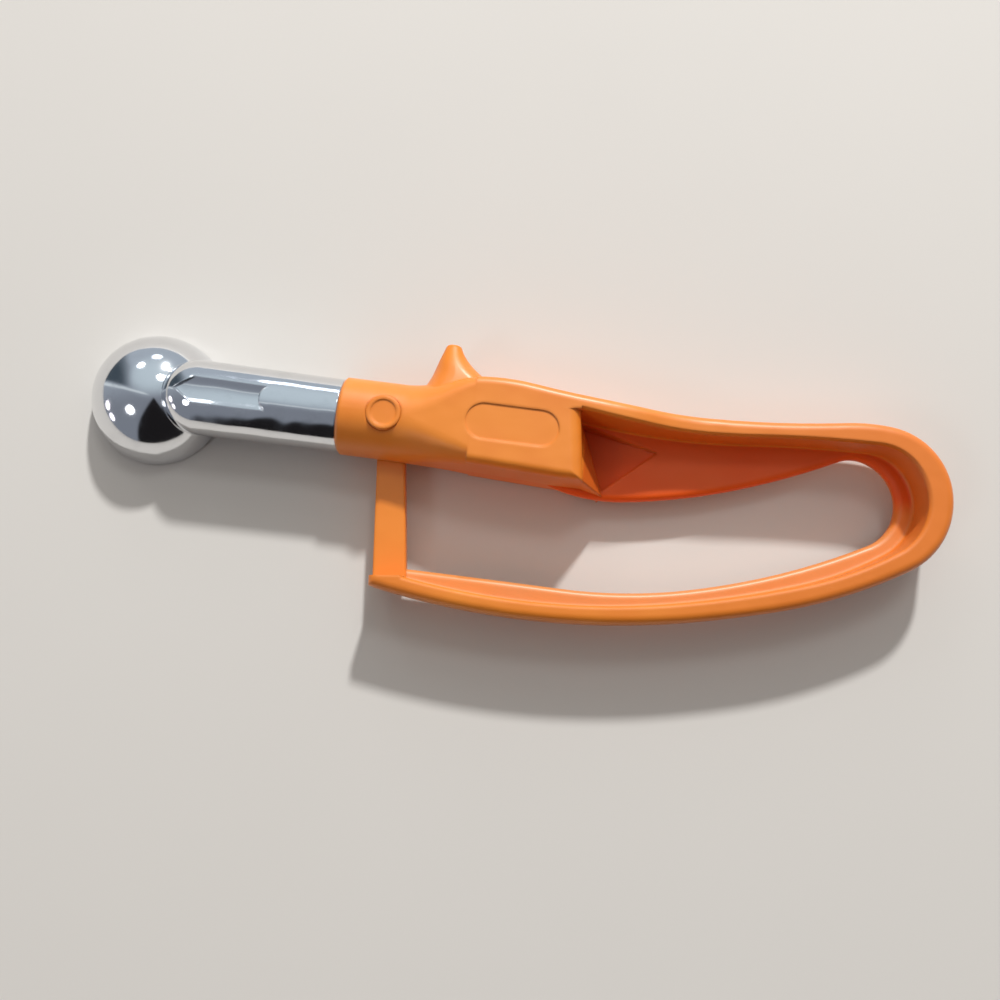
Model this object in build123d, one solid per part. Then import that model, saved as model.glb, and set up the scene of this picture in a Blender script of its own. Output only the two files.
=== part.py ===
from build123d import *
import math
import os

os.makedirs("parts", exist_ok=True)

# Lengths are in millimetres. The tool lies on its back face: +X runs from bowl to tail,
# +Y is the thumb side and +Z points away from the surface it rests on. It is modelled about
# its middle plane, with the collar's mouth at X = 0 and the neck's axis at Y = 0.

# Grip block and collar
half_depth = 15.0
collar_r = 13.7
collar_len = 20.0
block_start_x = 46.0
block_low_r = 2.8
block_end_r = 4.8
block_low_y = -13.2
block_foot = (86.2, -14.4)     # lower end of the block's end wall
panel_x, panel_y = 60.0, 1.2   # plain sunk panel on the block's front
panel_len = 32.0
panel_wid = 12.6
panel_deep = 0.4

# Neck and bowl
neck_r = 12.8
neck_root_r = 13.3
bowl_x = -70.6
bowl_r = 24.0
bowl_wall = 2.3
bowl_lip = 0.6
shoulder_x = -50.5             # where the neck begins to round in towards the bowl
nose_x, nose_r = -64.0, 5.2    # end of the rounding, inside the bowl's wall
flute_len = 40.3
flute_wid = 10.6
flute_mid_x = -36.65
flute_depth = 1.9
flute_r = 11.0

# Spigot, cross pin and caps
spigot_r = 9.5
spigot_len = 34.0
spigot_gap = 0.10
shoulder_gap = 0.05
pin_x = 16.0
pin_r = 2.5
pin_gap = 0.04
pin_half = 10.8
cap_r = 6.0
cap_gap = 0.06
cap_seat = 11.0
cap_top = 14.0
cap_dish_r = 4.3
cap_dish = 0.35
cap_edge_c = 0.4

# Hand loop: heights are from the middle plane
rim_half = 9.5
web_top = -4.0
web_low = -9.0
drop_start_x = 87.0
drop_end_x = 128.0
outer_r = 3.0
rim_inner_c = 0.9
ledge_r = 2.1
foot_c = 1.2
buried = 2.4               # how far the web's edge runs into the rim
arm_line_y = -32.0         # between the upper and the lower arm
cutter = 240.0             # size of the cutting bodies, longer than the loop

# Each outline starts at a point and a direction, and goes on in tangent arcs (radius, length);
# a positive radius turns left
outer_start, outer_way = (46.0, 17.0), (0.9924, 0.1231)
outer_arcs = [(-79.6, 20.0), (378.1, 108.7), (-65.5, 15.8), (-24.7, 31.3), (-28.1, 34.8), (-179.0, 50.1),
              (-418.3, 23.5), (-286.8, 112.9)]
rim_start, rim_way = (30.1, -54.1), (0.9896, -0.1440)
rim_arcs = [(261.2, 90.7), (354.3, 46.3), (124.6, 33.9), (20.3, 35.0), (16.2, 11.8), (29.6, 3.0), (434.9, 41.0),
            (-248.1, 61.4)]
hole_start, hole_way = (25.0, -50.4), (0.9999, 0.0115)
hole_arcs = [(-4088.0, 58.7), (184.2, 44.5), (255.2, 66.4), (16.1, 37.6), (14.6, 3.2), (11.8, 6.6), (-271.6, 40.0),
             (-217.2, 39.0), (-61.0, 37.5)]
strut_ends = [(13.2, -8.0), (22.9, -8.0)]     # left and right side, inside the collar
strut_top = -3.0                              # the strut's front lies lower than the rim
strut_step = [(8.0, -56.2), (19.0, -54.9), (30.1, -53.6), (34.0, -53.1)]
strut_root_y = -7.0                           # the step ends here, inside the collar
strut_edge_c = 0.4667

# Triangular pocket in the root of the web, and the sloping foot of the block's end wall
pocket = [(84.6, 8.9), (93.9, -14.2), (112.1, 2.1)]
pocket_deep = -11.2
pocket_rise = -5.0
boss_low = -12.8
boss_share = 1.22              # the boss behind the pocket, as a share of the pocket's plan
ramp_foot = (84.2, 9.3)
ramp_toe = (94.4, -16.3)
ramp_top = 10.2

# Thumb fin: height, first and last X, half thickness
fin_levels = [(8.0, 25.5, 57.0, 12.0), (14.5, 28.3, 54.0, 11.2), (18.0, 29.7, 49.5, 10.4),
              (21.7, 30.9, 44.3, 9.2), (25.2, 32.1, 40.7, 7.8), (29.3, 33.4, 38.5, 6.4)]
fin_tip_r = 1.5


def soften(solid, edges, radius):
    """Round edges, taking a smaller radius where the full one has no room."""
    for share in (1.0, 0.8, 0.6, 0.4):
        try:
            rounded = solid.fillet(radius * share, edges)
            if rounded.is_valid and 0 < rounded.volume:
                return rounded
        except Exception:
            continue
    print("left sharp:", len(edges), "edges", radius)
    return solid


def bevel(solid, edges, width):
    """Bevel edges, taking a narrower bevel where the full one has no room."""
    for share in (1.0, 0.7, 0.5, 0.3):
        try:
            cut = solid.chamfer(width * share, None, edges)
            if cut.is_valid and 0 < cut.volume:
                return cut
        except Exception:
            continue
    print("left sharp:", len(edges), "edges", width)
    return solid


def edges_along(solid, curve, low, high):
    """Edges that run above a curve of the middle plane, between two heights."""
    found = []
    for edge in solid.edges():
        here = edge.position_at(0.37)
        if low < here.Z < high and abs(edge.tangent_at(0.37).Z) < 0.7:
            if curve.distance_to(Vertex(here.X, here.Y, 0)) < 0.03:
                found.append(edge)
    return found


def half_slab(near, far, start_x, end_x):
    """Upper half of a slab of height far, rising smoothly to near towards the block above the arm line."""
    with BuildSketch(Plane.XZ) as s:
        with BuildLine():
            Line((40, 0), (40, near))
            Line((40, near), (start_x, near))
            fall = TangentArc((start_x, near), ((start_x + end_x) / 2, (near + far) / 2), tangent=(1, 0))
            TangentArc(fall @ 1, (end_x, far), tangent=fall % 1)
            Polyline((end_x, far), (end_x + 5, far), (end_x + 5, 0), (40, 0))
        make_face()
    raised = Pos(0, arm_line_y, 0) * extrude(s.sketch, -80)
    flat = Pos(cutter / 2, 0, 0) * Box(cutter, cutter, far, align=(Align.CENTER, Align.CENTER, Align.MIN))
    return raised + flat


def arc_run(start, way, arcs, aside=0.0):
    """Tangent arcs, one after another. The run can lie beside the given one, to its left."""
    way = Vector(*way).normalized()
    spot = Vector(*start) + Vector(-way.Y, way.X) * aside
    run = []
    for radius, length in arcs:
        turn = math.degrees(length / radius)
        arc = JernArc(spot, way, abs(radius - aside), turn)
        run.append(arc)
        spot, way = arc @ 1, arc % 1
    return run


def make_rim():
    """Block, rim and strut: one outline, higher at the block, with round edges."""
    outer = arc_run(outer_start, outer_way, outer_arcs)
    inner = arc_run(rim_start, rim_way, rim_arcs)
    belly = Line((block_start_x, block_low_y), (block_foot[0] - 9, block_foot[1]))
    keel = Line(block_foot, belly @ 1)
    back = Line((block_start_x, block_low_y), outer_start)
    wall = Line(inner[-1] @ 1, block_foot)
    left, right = Line(outer[-1] @ 1, strut_ends[0]), Line(strut_ends[1], rim_start)
    face = make_face([*outer, left, Line(*strut_ends), right, *inner, wall, keel, belly, back])
    rim = extrude(face, half_depth) & half_slab(half_depth, rim_half, drop_start_x, drop_end_x)
    rim = soften(rim, edges_along(rim, Wire([*outer, left]), 1, 20), outer_r)
    rim = soften(rim, edges_along(rim, belly, 10, 20) + edges_along(rim, keel, 10, 20), block_low_r)
    rim = bevel(rim, edges_along(rim, Wire([right, *inner]), 7.5, 20), rim_inner_c)
    rim = rim - make_end_round()
    rim = rim + rim.mirror(Plane.XY)
    (step_left, _), (step_right, _) = strut_step[0], strut_step[-1]
    step = make_face(Polyline(*strut_step, (step_right, strut_root_y), (step_left, strut_root_y), close=True))
    rim = rim - Pos(0, 0, strut_top) * extrude(step, 2 * half_depth)
    return bevel(rim, edges_along(rim, Wire([right]), strut_top - 0.1, strut_top + 0.1), strut_edge_c)


def make_web():
    """Floor of the loop, let into the rim, with a full round edge at the hand hole."""
    buried_edge = arc_run(rim_start, rim_way, rim_arcs, -buried)
    hole = arc_run(hole_start, hole_way, hole_arcs)
    start, end = buried_edge[0] @ 0, buried_edge[-1] @ 1
    left = Polyline(hole_start, (hole_start[0], start.Y), start)
    inside = Polyline(hole[-1] @ 1, (block_start_x + 14, -8), (block_start_x + 14, 5), end)
    sheet = Pos(0, 0, web_low) * extrude(make_face([*buried_edge, inside, *hole, left]), web_top - web_low)
    return soften(sheet, edges_along(sheet, Wire(hole), web_low - 1, web_top + 1), ledge_r)


def make_loop():
    body = make_rim() + make_web()
    inner = Wire(arc_run(rim_start, rim_way, rim_arcs))
    body = bevel(body, edges_along(body, inner, web_top - 0.5, web_top + 0.5), foot_c)
    center = Vector(*[sum(p[i] for p in pocket) / 3 for i in (0, 1)])
    grown = [center + (Vector(*p) - center) * boss_share for p in pocket]
    boss = Pos(0, 0, boss_low) * extrude(make_face(Polyline(*grown, close=True)), web_top - boss_low - 2)
    return body + boss + make_ramp() - make_pocket()


def make_end_round():
    """What is taken off the top edge of the block's end wall to leave it round."""
    end = arc_run(rim_start, rim_way, rim_arcs)[-1] @ 1
    (x0, y0), (x1, y1) = (end.X, end.Y), block_foot
    run = math.hypot(x1 - x0, y1 - y0)
    along = ((x1 - x0) / run, (y1 - y0) / run, 0)
    across = (-along[1], along[0], 0)
    plane = Plane(origin=(x0, y0, half_depth), x_dir=across, z_dir=along)
    r = block_end_r
    with BuildSketch(plane) as s:
        with BuildLine():
            Polyline((-r, 0), (-r, 2), (0.6, 2), (0.6, -r), (0, -r))
            RadiusArc((0, -r), (-r, 0), -r)
        make_face()
    return extrude(s.sketch, run + 4)


def make_ramp():
    """Sloping foot that widens down the block's end wall."""
    foot, toe = Vector(*ramp_foot, web_top), Vector(*ramp_toe, web_top)
    crest = Vector(*block_foot, ramp_top)
    up = (foot - toe).cross(crest - toe)
    up = up if up.Z > 0 else up * -1
    below = Box(cutter / 2, cutter / 2, cutter / 4, align=(Align.CENTER, Align.CENTER, Align.MAX))
    under = Plane(origin=toe, x_dir=foot - toe, z_dir=up) * below
    plan = make_face(Polyline((ramp_foot[0] - 6, ramp_foot[1]), ramp_foot, ramp_toe, block_foot,
                              (block_foot[0] - 6, block_foot[1] + 0.2), close=True))
    return Pos(0, 0, web_top - 3) * extrude(plan, ramp_top - web_top + 3) & under


def make_pocket():
    """Triangle whose floor is deepest at the end wall and rises to its far corner."""
    (ax, ay), (bx, by), (cx, cy) = pocket
    run = math.hypot(bx - ax, by - ay)
    normal = (-(by - ay) / run, (bx - ax) / run)
    reach = (cx - ax) * normal[0] + (cy - ay) * normal[1]
    plane = Plane(origin=(ax, ay, 0), x_dir=(*normal, 0), z_dir=(normal[1], -normal[0], 0))
    with BuildSketch(plane) as s:
        with BuildLine():
            Polyline((-1, pocket_deep), (reach + 1, pocket_rise), (reach + 1, web_top + 2), (-1, web_top + 2), close=True)
        make_face()
    plan = Pos(0, 0, boss_low) * extrude(make_face(Polyline(*pocket, close=True)), web_top + 2 - boss_low)
    return plan & extrude(s.sketch, cutter / 4, both=True)


def grip_section(x, low, top, half, low_r, top_r):
    plane = Plane(origin=(x, 0, 0), x_dir=(0, 1, 0), z_dir=(1, 0, 0))
    k = 1 - math.sqrt(0.5)
    corners = [(top, half, top_r, 1, 1), (low, half, low_r, -1, 1), (low, -half, low_r, -1, -1), (top, -half, top_r, 1, -1)]
    ends = []
    for n, (y, z, r, sy, sz) in enumerate(corners):
        on_side = (y, z - sz * r)
        on_face = (y - sy * r, z)
        mid = (y - sy * r * k, z - sz * r * k)
        ends.append((on_side, mid, on_face) if n % 2 == 0 else (on_face, mid, on_side))
    with BuildSketch(plane) as s:
        with BuildLine():
            for n, (a, m, b) in enumerate(ends):
                ThreePointArc(a, m, b)
                Line(b, ends[(n + 1) % 4][0])
        make_face()
    return s.sketch


def make_grip():
    r = collar_r
    stations = [(collar_len, -r, r, r, r - 0.05, r - 0.05),
                (30.0, -13.5, 14.3, 14.2, 11.6, 11.6),
                (39.0, -13.2, 15.9, 14.7, 8.0, 7.2),
                (47.0, block_low_y - 0.10, 17.1, half_depth - 0.03, 5.4, 3.6),
                (55.0, -13.35, 17.2, half_depth - 0.25, block_low_r, outer_r)]
    sections = [grip_section(*s) for s in stations]
    return extrude(sections[0], -collar_len) + loft(sections)


def make_fin():
    sections = []
    for y, x0, x1, half in fin_levels:
        plane = Plane(origin=((x0 + x1) / 2, y, 0), x_dir=(1, 0, 0), z_dir=(0, 1, 0))
        sections.append(plane * RectangleRounded(x1 - x0, 2 * half, min(0.47 * (x1 - x0), 0.8 * half)))
    horn = loft(sections)
    tip = horn.faces().sort_by(Axis.Y)[-1]
    return soften(horn, tip.edges(), fin_tip_r)


def make_panel():
    return Pos(panel_x, panel_y, half_depth - panel_deep) * extrude(SlotOverall(panel_len, panel_wid), 2)


def make_handle():
    solid = make_loop() + make_grip() + make_fin() - make_panel()
    mouth = [e for e in solid.edges() if abs(e.center().X) < 0.01 and e.geom_type == GeomType.CIRCLE]
    solid = bevel(solid, mouth, 0.8)
    along = Plane(origin=(-1, 0, 0), z_dir=(1, 0, 0))
    solid = solid - extrude(along * Circle(spigot_r + spigot_gap), spigot_len + 2)
    upright = Pos(pin_x, 0, 0)
    solid = solid - upright * Cylinder(pin_r + pin_gap, cutter / 4)
    seat = Cylinder(cap_r + cap_gap, 10, align=(Align.CENTER, Align.CENTER, Align.MIN))
    return solid - upright * Pos(0, 0, cap_seat) * seat - upright * Pos(0, 0, -cap_seat - 10) * seat


def make_pin():
    pin = Cylinder(pin_r, 2 * pin_half)
    return Pos(pin_x, 0, 0) * chamfer(pin.edges(), 0.3)


def make_cap():
    base = cap_seat + 0.02
    cap = Pos(0, 0, base) * Cylinder(cap_r, cap_top - base, align=(Align.CENTER, Align.CENTER, Align.MIN))
    cap = cap - Pos(0, 0, cap_top - cap_dish) * Cylinder(cap_dish_r, 2, align=(Align.CENTER, Align.CENTER, Align.MIN))
    top = [e for e in cap.edges() if e.center().Z > cap_top - 0.01]
    return Pos(pin_x, 0, 0) * bevel(cap, top, cap_edge_c)


def make_flute():
    """Shallow hollow along the neck's front, with a round right end and a pointed left end."""
    left, right = flute_mid_x - flute_len / 2, flute_mid_x + flute_len / 2
    w = flute_wid / 2
    with BuildSketch() as s:
        with BuildLine():
            Polyline((right - w, w), (left + 1.5 * w, w), (left, 0), (left + 1.5 * w, -w), (right - w, -w))
            RadiusArc((right - w, -w), (right - w, w), w)
        make_face()
    bar = Pos(flute_mid_x, 0, neck_root_r - flute_depth + flute_r) * Rot(0, 90, 0) * Cylinder(flute_r, 2 * flute_len)
    return bar & extrude(s.sketch, 2 * neck_root_r)


def make_bowl():
    """Half a hollow ball, mouth down, with its lip eased both sides."""
    inner_r = bowl_r - bowl_wall
    with BuildSketch(Plane.XZ) as s:
        with BuildLine():
            Line((inner_r, 0), (bowl_r, 0))
            CenterArc((0, 0), bowl_r, 0, 90)
            Line((0, bowl_r), (0, inner_r))
            CenterArc((0, 0), inner_r, 0, 90)
        make_face()
        chamfer(s.vertices().filter_by(lambda v: abs(v.Y) < 0.01), bowl_lip)
    return revolve(s.sketch, Axis.Z)


def make_head():
    shoulder, nose = (shoulder_x, neck_root_r), (nose_x, nose_r)
    with BuildSketch() as s:
        with BuildLine():
            TangentArc(shoulder, nose, tangent=(-1, 0))
            Line(shoulder, (-shoulder_gap, neck_r))
            Polyline((-shoulder_gap, neck_r), (-shoulder_gap, spigot_r), (spigot_len, spigot_r), (spigot_len, 0),
                     (nose_x, 0), nose)
        make_face()
    neck = revolve(s.sketch, Axis.X) - make_flute()
    center = Pos(bowl_x, 0, -half_depth)
    head = center * make_bowl() + (neck - center * Sphere(bowl_r - bowl_wall / 2))
    hole = Pos(pin_x, 0, 0) * Cylinder(pin_r + pin_gap, cutter / 4)
    return head - hole


half_built = {"scoop_head": make_head(), "handle": make_handle(), "cross_pin": make_pin(),
              "front_pin_cap": make_cap(), "back_pin_cap": make_cap().mirror(Plane.XY)}
box = Compound(children=[s.moved(Location((0, 0, 0))) for s in half_built.values()]).bounding_box()
home = Location((-box.center().X, -box.center().Y, half_depth))
for name, shape in half_built.items():
    solid = shape.moved(home)
    export_step(solid, f"parts/{name}.step")
    print(name, solid.is_valid, len(solid.solids()), round(solid.volume / 1000, 2), solid.bounding_box())
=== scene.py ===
import bpy
import numpy as np
from mathutils import Matrix, Vector

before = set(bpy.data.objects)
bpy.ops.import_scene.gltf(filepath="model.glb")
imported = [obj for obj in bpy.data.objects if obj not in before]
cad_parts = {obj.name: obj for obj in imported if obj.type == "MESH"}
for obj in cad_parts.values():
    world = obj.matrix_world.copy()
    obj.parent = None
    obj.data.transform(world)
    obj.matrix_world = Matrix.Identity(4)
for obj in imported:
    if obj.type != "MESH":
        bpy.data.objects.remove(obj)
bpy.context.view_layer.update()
print("scoop frame loaded:", ", ".join(sorted(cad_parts)))

# ways from the table: up, along the scoop to its tail, and two that are turned 7.5 degrees from the scoop:
# far, across the hand, and right, along the handle's long back
upWay = Vector((0.0, 0.0, 1.0))
tailWay = Vector((1.0, 0.0, 0.0))
farWay = Vector((-0.1305, 0.9914, 0.0))
rightWay = farWay.cross(upWay)


# one output socket; + - * and abs on it add Math nodes
class wire:
    def __init__(self, socket):
        self.socket = socket

    def maths(self, operation, *values):
        node = self.socket.id_data.nodes.new("ShaderNodeMath")
        node.operation = operation
        for slot, value in zip(node.inputs, values):
            feed(slot, value)
        return wire(node.outputs[0])

    def __add__(self, other):
        return self.maths("ADD", self, other)

    def __mul__(self, other):
        return self.maths("MULTIPLY", self, other)

    def __sub__(self, other):
        return self.maths("SUBTRACT", self, other)

    def __rsub__(self, other):
        return self.maths("SUBTRACT", other, self)

    def __abs__(self):
        return self.maths("ABSOLUTE", self)

    __radd__ = __add__
    __rmul__ = __mul__


# a socket is linked to a wire, or else set to a fixed value
def feed(slot, value):
    if isinstance(value, wire):
        slot.id_data.links.new(value.socket, slot)
    else:
        slot.default_value = value


# a node tree and the few kinds of step that the finishes and the room are made from
class bench:
    def __init__(self, tree):
        self.tree = tree

    # one node: its settings first, then its sockets, each by its name or as input and a number
    def node(self, kind, settings=None, output=0, **values):
        node = self.tree.nodes.new("ShaderNode" + kind)
        for key, value in (settings or {}).items():
            setattr(node, key, value)
        for key, value in values.items():
            number = key.removeprefix("input")
            feed(node.inputs[int(number) if number.isdigit() else key], value)
        return wire(node.outputs[output]) if node.outputs else None

    # how far a place or a direction reaches along a way: their dot product
    def part(self, vector, way):
        return self.node("VectorMath", {"operation": "DOT_PRODUCT"}, "Value", input0=vector, input1=way)

    # 0 below low, 1 above high, smooth between
    def rise(self, value, low, high):
        return self.node("MapRange", {"interpolation_type": "SMOOTHSTEP"},
                         input0=value, input1=low, input2=high)

    # 1 below low, 0 above high, smooth between
    def fall(self, value, low, high):
        return 1 - self.rise(value, low, high)

    # the colour first where factor is 0; where it is 1, second, or first times second for MULTIPLY
    def blend(self, factor, first, second, kind="MIX"):
        first, second = (c if isinstance(c, wire) else (*c, 1) for c in (first, second))
        return self.node("Mix", {"data_type": "RGBA", "blend_type": kind}, output=2,
                         input0=factor, input6=first, input7=second)

    def noise(self, place, scale, detail, roughness=0.5):
        return self.node("TexNoise", Vector=place, Scale=scale, Detail=detail, Roughness=roughness)

    # noise on coordinates that are turned about up and stretched, so that it runs in streaks
    def streaks(self, place, stretch, turn=0.0, detail=1.0):
        turned = self.node("Mapping", Vector=place, Rotation=(0, 0, turn), Scale=stretch)
        return self.noise(turned, 1.0, detail)

    # fine lines of two kinds, each where its streaks rise from low to high
    def scratches(self, place, kinds):
        first, second = (self.rise(self.streaks(place, stretch, turn), low, high)
                         for stretch, turn, low, high in kinds)
        return first + second

    # the surface's direction, as if its edges were rounded by this radius
    def softEdges(self, radius, samples=6):
        return self.node("Bevel", {"samples": samples}, Radius=radius)

    # the direction under, tilted by a share, strength, of what height times depth on the surface would give
    def bump(self, height, depth, under, strength=0.5):
        return self.node("Bump", Height=height, Distance=depth, Strength=strength, Normal=under)


# one material, with the object's own coordinates as its place
class finish(bench):
    def __init__(self, name):
        self.material = bpy.data.materials.new(name)
        self.material.use_nodes = True
        super().__init__(self.material.node_tree)
        self.shader = self.tree.nodes["Principled BSDF"]
        self.place = self.node("TexCoord", output="Object")

    # sets or links the shader's own sockets, written without spaces
    def put(self, **values):
        for key, value in values.items():
            slot = next(s for s in self.shader.inputs if s.name.replace(" ", "").lower() == key.lower())
            feed(slot, value)
        return self.material


# orange moulded plastic of the handle and the pin caps; lengths in metres, heights above the table,
# and places along the scoop or across the hand from the scoop's middle
handleLook = {
    "orange": (0.85, 0.262, 0.026),
    "deepOrange": (0.80, 0.222, 0.018),
    "clouds": (38.0, 2.0),             # scale and detail of the noise
    "cloudEdges": (0.35, 0.70),        # noise at which the deep orange starts and is whole
    "tailOrange": (0.74, 0.188, 0.020),
    "tailEnds": (0.00, 0.15),          # the colour deepens between these, along the scoop
    "tailShare": 0.85,
    # pale lines, in patches where the skin is scratched
    "rubbed": (0.95, 0.44, 0.17),
    "rubbedShare": 0.45,
    "scratches": (((160, 5200, 1500), 0.35, 0.71, 0.77),    # stretch, turn, and the noise they show from
                  ((4300, 190, 1500), -0.22, 0.73, 0.78)),
    "patches": (55.0, 3.0),
    "patchEdges": (0.52, 0.68),
    # the web and the ledge are the floor that faces up below webHeight
    "webHeight": 0.0115,
    "webFade": 0.0004,
    "floorFacing": (-0.1, 0.2),
    "stained": (0.82, 0.092, 0.003),   # painted shade: the sunk web is coloured darker and redder, as the rim shades it
    "webEdges": (-0.012, -0.004),      # the painted shade fades in between these, across the hand
    "leastStain": 0.75,                # where no cloud adds to it
    "dried": (0.70, 0.285, 0.092),     # painted highlight: the lower arm's ledge is coloured paler and less saturated, for the sheen on it
    "ledgeEdges": (-0.020, -0.012),    # the painted highlight fades out between these, across the hand
    "leastFilm": 0.35,
    # painted shade: the sloping foot beside the pocket, which faces the tail, is coloured darker
    "grimy": (0.58, 0.105, 0.010),
    "grimeShare": 0.85,
    "footEnds": (0.0275, 0.0355),      # where it lies along the scoop
    "footFade": 0.001,
    "footFacing": (0.25, 0.45),
    # the shine
    "roughness": 0.38,
    "cloudRough": 0.10,
    "scratchRough": 0.16,
    "grainRough": 0.06,
    "ior": 1.49,
    "shine": 0.40,
    "polish": 0.45,                    # rubbed by hands, all but the web and the fin
    "polishRoughness": 0.33,
    "finEdges": (0.039, 0.045),        # the polish fades out between these, across the hand
    # the relief
    "edgeSoftness": 0.0014,
    "ripple": (130.0, 1.0),            # sink of the skin
    "rippleDepth": 0.0004,
    "grain": (2600.0, 2.0),            # fine etch
    "grainDepth": 0.00003,
    "partingHeight": 0.015,            # the mould's parting line
    "partingEdges": (0.00005, 0.00022),
    "partingDepth": 0.0002,
    "partingStrength": 0.6,
}


# masks for painted shade and a painted highlight, 1 on the web, the ledge and the foot: the floor faces up
# and its height is below webHeight, with the web on its far side and the ledge on its near side; the foot
# faces the tail, between its two ends
def paintedLightMasks(mat, look, along, across, height):
    facing = mat.node("NewGeometry", output="Normal")
    floor = (mat.rise(mat.part(facing, upWay), *look["floorFacing"])
             * mat.fall(height, look["webHeight"] - look["webFade"], look["webHeight"]))
    first, last = look["footEnds"]
    foot = (mat.rise(along, first - look["footFade"], first) * mat.fall(along, last, last + look["footFade"])
            * mat.rise(mat.part(facing, tailWay), *look["footFacing"]))
    return floor * mat.rise(across, *look["webEdges"]), floor * mat.fall(across, *look["ledgeEdges"]), foot


# direction = soft edges + ripple + grain + a ridge where the height is the parting height
def plasticRelief(mat, look, height, grain, partingLine):
    normal = mat.softEdges(look["edgeSoftness"])
    normal = mat.bump(mat.noise(mat.place, *look["ripple"]), look["rippleDepth"], normal)
    normal = mat.bump(grain, look["grainDepth"], normal)
    if partingLine:
        ridge = mat.fall(abs(height - look["partingHeight"]), *look["partingEdges"])
        normal = mat.bump(ridge, look["partingDepth"], normal, look["partingStrength"])
    return normal


# colour = clouds of two oranges, deeper to the tail, then pale scratches, the web's painted shade, the
# foot's painted shade and the ledge's painted highlight, each over the last by its mask; roughness rises in
# clouds, scratches and grain;
# coat = the polish, outside the web and short of the fin
def plasticFinish(name, look, partingLine=True):
    mat = finish(name)
    along, across, height = (mat.part(mat.place, way) for way in (tailWay, farWay, upWay))
    clouds, grain, patches = (mat.noise(mat.place, *look[key]) for key in ("clouds", "grain", "patches"))
    scratches = mat.scratches(mat.place, look["scratches"]) * mat.rise(patches, *look["patchEdges"])
    web, ledge, foot = paintedLightMasks(mat, look, along, across, height)
    tail = mat.rise(along, *look["tailEnds"])
    # painted shade on the web, stronger in the clouds
    webShadeMask = web * (look["leastStain"] + (1 - look["leastStain"]) * clouds)
    # painted highlight on the ledge, stronger in the clouds
    sheenMask = ledge * (look["leastFilm"] + (1 - look["leastFilm"]) * clouds)

    colour = mat.blend(mat.rise(clouds, *look["cloudEdges"]), look["orange"], look["deepOrange"])
    colour = mat.blend(tail * look["tailShare"], colour, look["tailOrange"])
    colour = mat.blend(scratches * look["rubbedShare"], colour, look["rubbed"])
    colour = mat.blend(webShadeMask, colour, look["stained"])
    # painted shade on the foot
    colour = mat.blend(foot * look["grimeShare"], colour, look["grimy"])
    colour = mat.blend(sheenMask, colour, look["dried"])
    rough = (look["roughness"] + look["cloudRough"] * clouds + look["scratchRough"] * scratches
             + look["grainRough"] * grain)
    coat = look["polish"] * (1 - web) * mat.fall(across, *look["finEdges"])
    return mat.put(baseColor=colour, roughness=rough, ior=look["ior"], specularIORLevel=look["shine"],
                   coatWeight=coat, coatRoughness=look["polishRoughness"],
                   normal=plasticRelief(mat, look, height, grain, partingLine))


# chrome plating of the neck and bowl
headLook = {
    "chrome": (0.80, 0.81, 0.83),
    "smudged": (0.68, 0.69, 0.71),
    "smudgeShare": 0.35,
    "smudges": (120.0, 4.0, 0.6),      # scale, detail and roughness of the noise
    "smudgeEdges": (0.50, 0.72),
    "scratches": (((420, 6500, 2500), 0.12, 0.70, 0.76),    # stretch, turn, and the noise they show from
                  ((5200, 520, 2500), 0.5, 0.72, 0.77)),
    "scratchedWave": (0.35, 0.60),     # the waves are scratched above these
    "roughness": 0.085,
    "smudgeRough": 0.06,
    "scratchRough": 0.12,
    "wave": (55.0, 1.0, 0.4),
    "waveDepth": 0.00095,              # how far the hand-polished casting wanders
    "pucker": (150.0, 0.0),
    "puckerDepth": 0.00014,            # the smaller unevenness on top of it
    "edgeSoftness": 0.0009,
}


# colour = chrome, greyer in smudges; roughness rises in smudges and scratches;
# direction = soft edges + long polished waves + short puckers
def chromeFinish(name, look):
    mat = finish(name)
    wave, pucker, smudges = (mat.noise(mat.place, *look[key]) for key in ("wave", "pucker", "smudges"))
    smudge = mat.rise(smudges, *look["smudgeEdges"])
    scratches = mat.scratches(mat.place, look["scratches"]) * mat.rise(wave, *look["scratchedWave"])
    colour = mat.blend(smudge * look["smudgeShare"], look["chrome"], look["smudged"])
    rough = look["roughness"] + look["smudgeRough"] * smudge + look["scratchRough"] * scratches
    normal = mat.softEdges(look["edgeSoftness"])
    normal = mat.bump(wave, look["waveDepth"], normal)
    normal = mat.bump(pucker, look["puckerDepth"], normal)
    return mat.put(baseColor=colour, metallic=1.0, roughness=rough, normal=normal)


# turned steel of the pin
pinLook = {
    "dark": (0.42, 0.43, 0.44),
    "bright": (0.58, 0.58, 0.58),
    "rings": (900, 900, 9000),         # stretch of the noise: ten times as fine along the pin
    "roughness": 0.22,
    "ringRough": 0.16,
}


# colour and roughness rise with the noise, which lies in rings round the pin
def pinFinish(name, look):
    mat = finish(name)
    rings = mat.streaks(mat.place, look["rings"], detail=2.0)
    return mat.put(baseColor=mat.blend(rings, look["dark"], look["bright"]),
                   metallic=1.0, roughness=look["roughness"] + look["ringRough"] * rings)


# the node's own mesh keeps its shape and takes this material
def dress(node, material):
    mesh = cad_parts[node].data
    mesh.materials.clear()
    mesh.materials.append(material)


handlePlastic = plasticFinish("handlePlastic", handleLook)
capPlastic = plasticFinish("capPlastic", handleLook, partingLine=False)
dress("handle", handlePlastic)
dress("front_pin_cap", capPlastic)
dress("back_pin_cap", capPlastic)
dress("scoop_head", chromeFinish("headChrome", headLook))
dress("cross_pin", pinFinish("pinSteel", pinLook))
print("plastic, chrome and steel finishes on the five nodes")


# a new object with this data, linked into the scene
def setUp(name, data):
    holder = bpy.data.objects.new(name, data)
    bpy.context.scene.collection.objects.link(holder)
    return holder


table = {
    "size": 3.0,
    "pale": (0.70, 0.69, 0.67),
    "patches": (9.0, 2.0),             # scale and detail of the noise
    "patchShade": 0.97,                # how light the darkest patches are
    "roughness": 0.9,
    "shine": 0.2,
}


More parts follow.
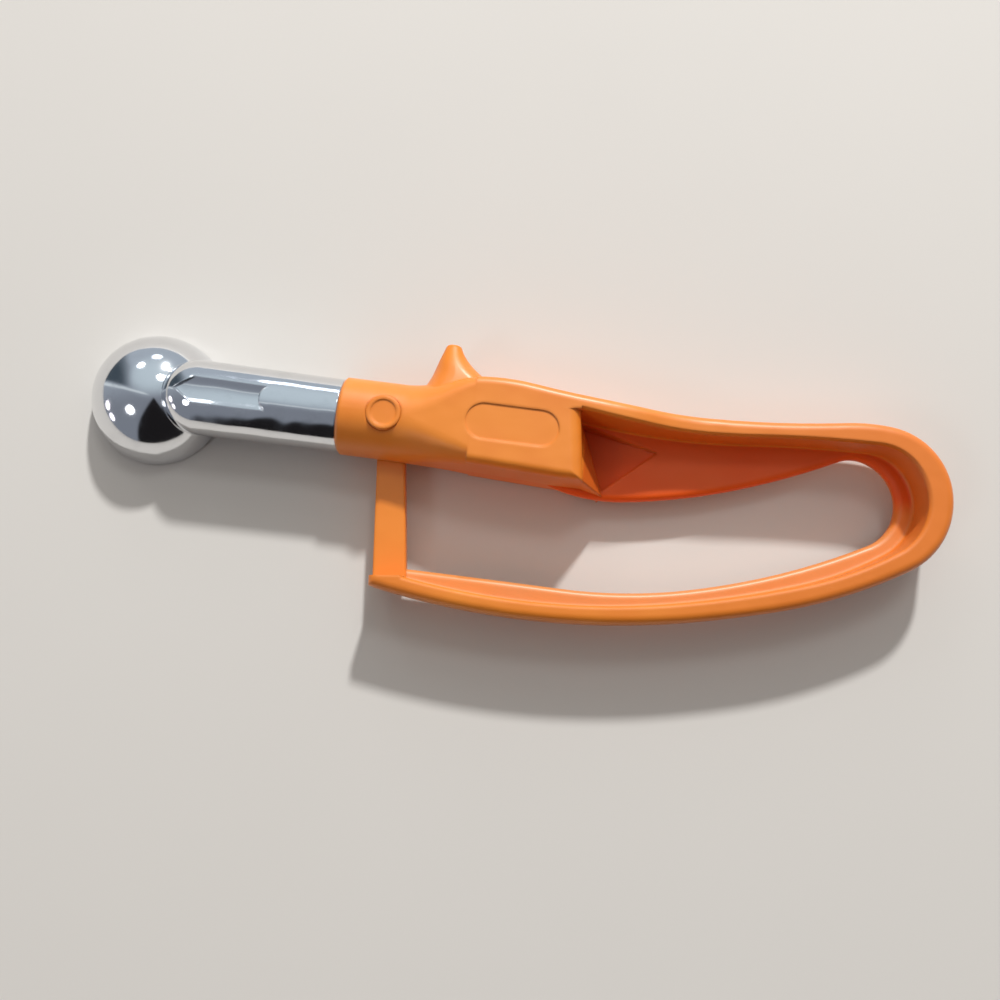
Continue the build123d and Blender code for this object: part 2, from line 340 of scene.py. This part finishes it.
# a flat square sheet at height 0: its corners at plus or minus half the size
def makeTable(spec):
    half = spec["size"] / 2
    corners = np.array([(-1, -1, 0), (1, -1, 0), (1, 1, 0), (-1, 1, 0)], float) * half
    mesh = bpy.data.meshes.new("table")
    mesh.from_pydata(corners.tolist(), [], [(0, 1, 2, 3)])
    board = setUp("table", mesh)
    mat = finish("tablePaint")
    shaded = [spec["patchShade"] * part for part in spec["pale"]]
    mat.put(baseColor=mat.blend(mat.noise(mat.place, *spec["patches"]), spec["pale"], shaded),
            roughness=spec["roughness"], specularIORLevel=spec["shine"])
    mesh.materials.append(mat.material)


# a direction from how much of it is far, right and up
def wayOf(far, right, up):
    return farWay * far + rightWay * right + upWay * up


# where each lamp hangs: degrees to the right of the far side, degrees down from overhead,
# metres away, size across and along, watts, colour
lamps = {
    "mainPanel": (16, 55, 2.2, (0.15, 0.15), 45.0, (1.0, 0.98, 0.95)),
    "highPanel": (24, 33, 2.2, (0.50, 0.42), 3.6, (0.98, 0.99, 1.0)),
    "leftPanel": (-125, 44, 2.2, (0.58, 0.58), 3.0, (0.97, 0.985, 1.0)),
    "farWindow": (-4, 68, 2.2, (0.46, 0.36), 1.1, (0.84, 0.90, 1.0)),
    "farLamp": (-24, 55, 2.2, (0.40, 0.42), 1.2, (0.95, 0.97, 1.0)),
    "sideLampA": (-95, 82, 2.2, (0.42, 0.36), 1.0, (1.0, 0.90, 0.96)),
    "sideLampB": (-110, 83, 2.2, (0.40, 0.34), 0.9, (0.98, 0.92, 1.0)),
}
lampAim = Vector((-0.04, 0.0, 0.01))   # the place that they all face


# each lamp stands at aim + distance * (sin(down) * (sin(turn), cos(turn)), cos(down)) and faces aim
def makeLamps(specs, aim):
    for name, (turn, down, distance, size, watts, colour) in specs.items():
        turn, down = np.radians(turn), np.radians(down)
        level = wayOf(np.cos(turn), np.sin(turn), 0.0)
        away = level * np.sin(down) + upWay * np.cos(down)
        lamp = bpy.data.lights.new(name, "AREA")
        lamp.shape = "ELLIPSE"
        lamp.size, lamp.size_y = size
        lamp.energy, lamp.color = watts, colour
        holder = setUp(name, lamp)
        holder.location = aim + away * distance
        holder.rotation_euler = (-away).to_track_quat("-Z", "Y").to_euler()


# the studio around the table, as the chrome shows it; a pair of edges is where a shape starts to show
# and is whole, or starts to end and is gone, and a way is its far, right and up parts
room = {
    "ceiling": (0.21, 0.23, 0.27),
    "farWall": (0.42, 0.475, 0.54),
    "wallEdges": (-0.35, 0.85),            # in far
    "glow": (0.60, 0.70, 0.76),            # round the high panel
    "glowWay": (0.52, 0.02, 0.85),
    "glowEdges": (0.72, 1.0),
    "glowShare": 0.80,
    "strip": (0.68, 0.74, 0.78),           # a thin light strip, from the left horizon up to overhead
    "stripAcross": (0.950, 0.305, 0.070),  # the way across it
    "stripSides": (0.012, 0.034),
    "stripEnd": (-0.20, 0.05),             # in right
    "screen": (0.06, 0.080, 0.10),         # a dark screen on the far side of the strip, at the left
    "screenNear": (0.03, 0.08),
    "screenFar": (0.50, 0.66),
    "screenEnd": (-0.80, -0.42),           # in right
    "flag": (0.012, 0.011, 0.012),         # a dark wedge on the near side, up to overhead
    "flagRightSlope": 0.8,
    "flagRightEdges": (-0.03, 0.03),
    "flagLeftSlope": 0.75,
    "flagLeftEdges": (0.18, 0.26),
    "warmth": (1.15, 0.94, 0.77),          # tints what the dull surfaces get, as warm things stand about
    "seen": (0.76, 0.755, 0.74),           # what the camera sees past the table
}


# far and right are the direction's parts, and offStrip is its part across the strip:
# wall = far rises; glow = the part along glowWay rises; screen = offStrip is past the strip, and right low;
# strip = offStrip is near 0, and right low; flag = right + slope * far is low and right - slope * far high;
# the camera gets the plain colour seen, the chrome the room, and all else the room times warmth
def makeRoom(spec):
    world = bpy.data.worlds.new("room")
    world.use_nodes = True
    bpy.context.scene.world = world
    world.node_tree.nodes.clear()
    sky = bench(world.node_tree)
    way = sky.node("TexCoord", output="Generated")
    far, right = sky.part(way, farWay), sky.part(way, rightWay)
    offStrip = sky.part(way, wayOf(*spec["stripAcross"]))
    wall = sky.rise(far, *spec["wallEdges"])
    glow = sky.rise(sky.part(way, wayOf(*spec["glowWay"]).normalized()), *spec["glowEdges"])
    screen = sky.rise(offStrip, *spec["screenNear"]) * sky.fall(offStrip, *spec["screenFar"])
    screen = screen * sky.fall(right, *spec["screenEnd"])
    strip = sky.fall(abs(offStrip), *spec["stripSides"]) * sky.fall(right, *spec["stripEnd"])
    flagRight = sky.fall(right + spec["flagRightSlope"] * far, *spec["flagRightEdges"])
    flagLeft = sky.rise(right - spec["flagLeftSlope"] * far, *spec["flagLeftEdges"])
    colour = sky.blend(wall, spec["ceiling"], spec["farWall"])
    colour = sky.blend(glow * spec["glowShare"], colour, spec["glow"])
    colour = sky.blend(screen, colour, spec["screen"])
    colour = sky.blend(strip, colour, spec["strip"])
    colour = sky.blend(flagRight * flagLeft, colour, spec["flag"])
    mirrored = sky.node("LightPath", output="Is Glossy Ray")
    colour = sky.blend(1 - mirrored, colour, spec["warmth"], "MULTIPLY")
    lit = sky.node("Background", Color=colour)
    plain = sky.node("Background", Color=(*spec["seen"], 1))
    direct = sky.node("LightPath", output="Is Camera Ray")
    sky.node("OutputWorld", Surface=sky.node("MixShader", input0=direct, input1=lit, input2=plain))


view = {
    "place": (0.00662, -0.05720, 0.34250),
    "aim": (-0.00043, -0.00361, 0.0),
    "up": farWay,
    "lens": 34.2,
    "sensor": 36.0,
    "clip": (0.01, 20.0),
}


# looks from place to aim, with up towards the top of the frame
def makeCamera(spec):
    camera = bpy.data.cameras.new("tableCamera")
    camera.lens, camera.sensor_width = spec["lens"], spec["sensor"]
    camera.clip_start, camera.clip_end = spec["clip"]
    holder = setUp("tableCamera", camera)
    back = (Vector(spec["place"]) - Vector(spec["aim"])).normalized()
    right = spec["up"].cross(back).normalized()
    turned = Matrix((right, back.cross(right), back)).transposed()
    holder.matrix_world = Matrix.Translation(spec["place"]) @ turned.to_4x4()
    bpy.context.scene.camera = holder


makeTable(table)
makeLamps(lamps, lampAim)
makeRoom(room)
makeCamera(view)
bpy.context.scene.view_settings.view_transform = "Standard"
print("table, lamps, room and camera set")

bpy.context.view_layer.update()
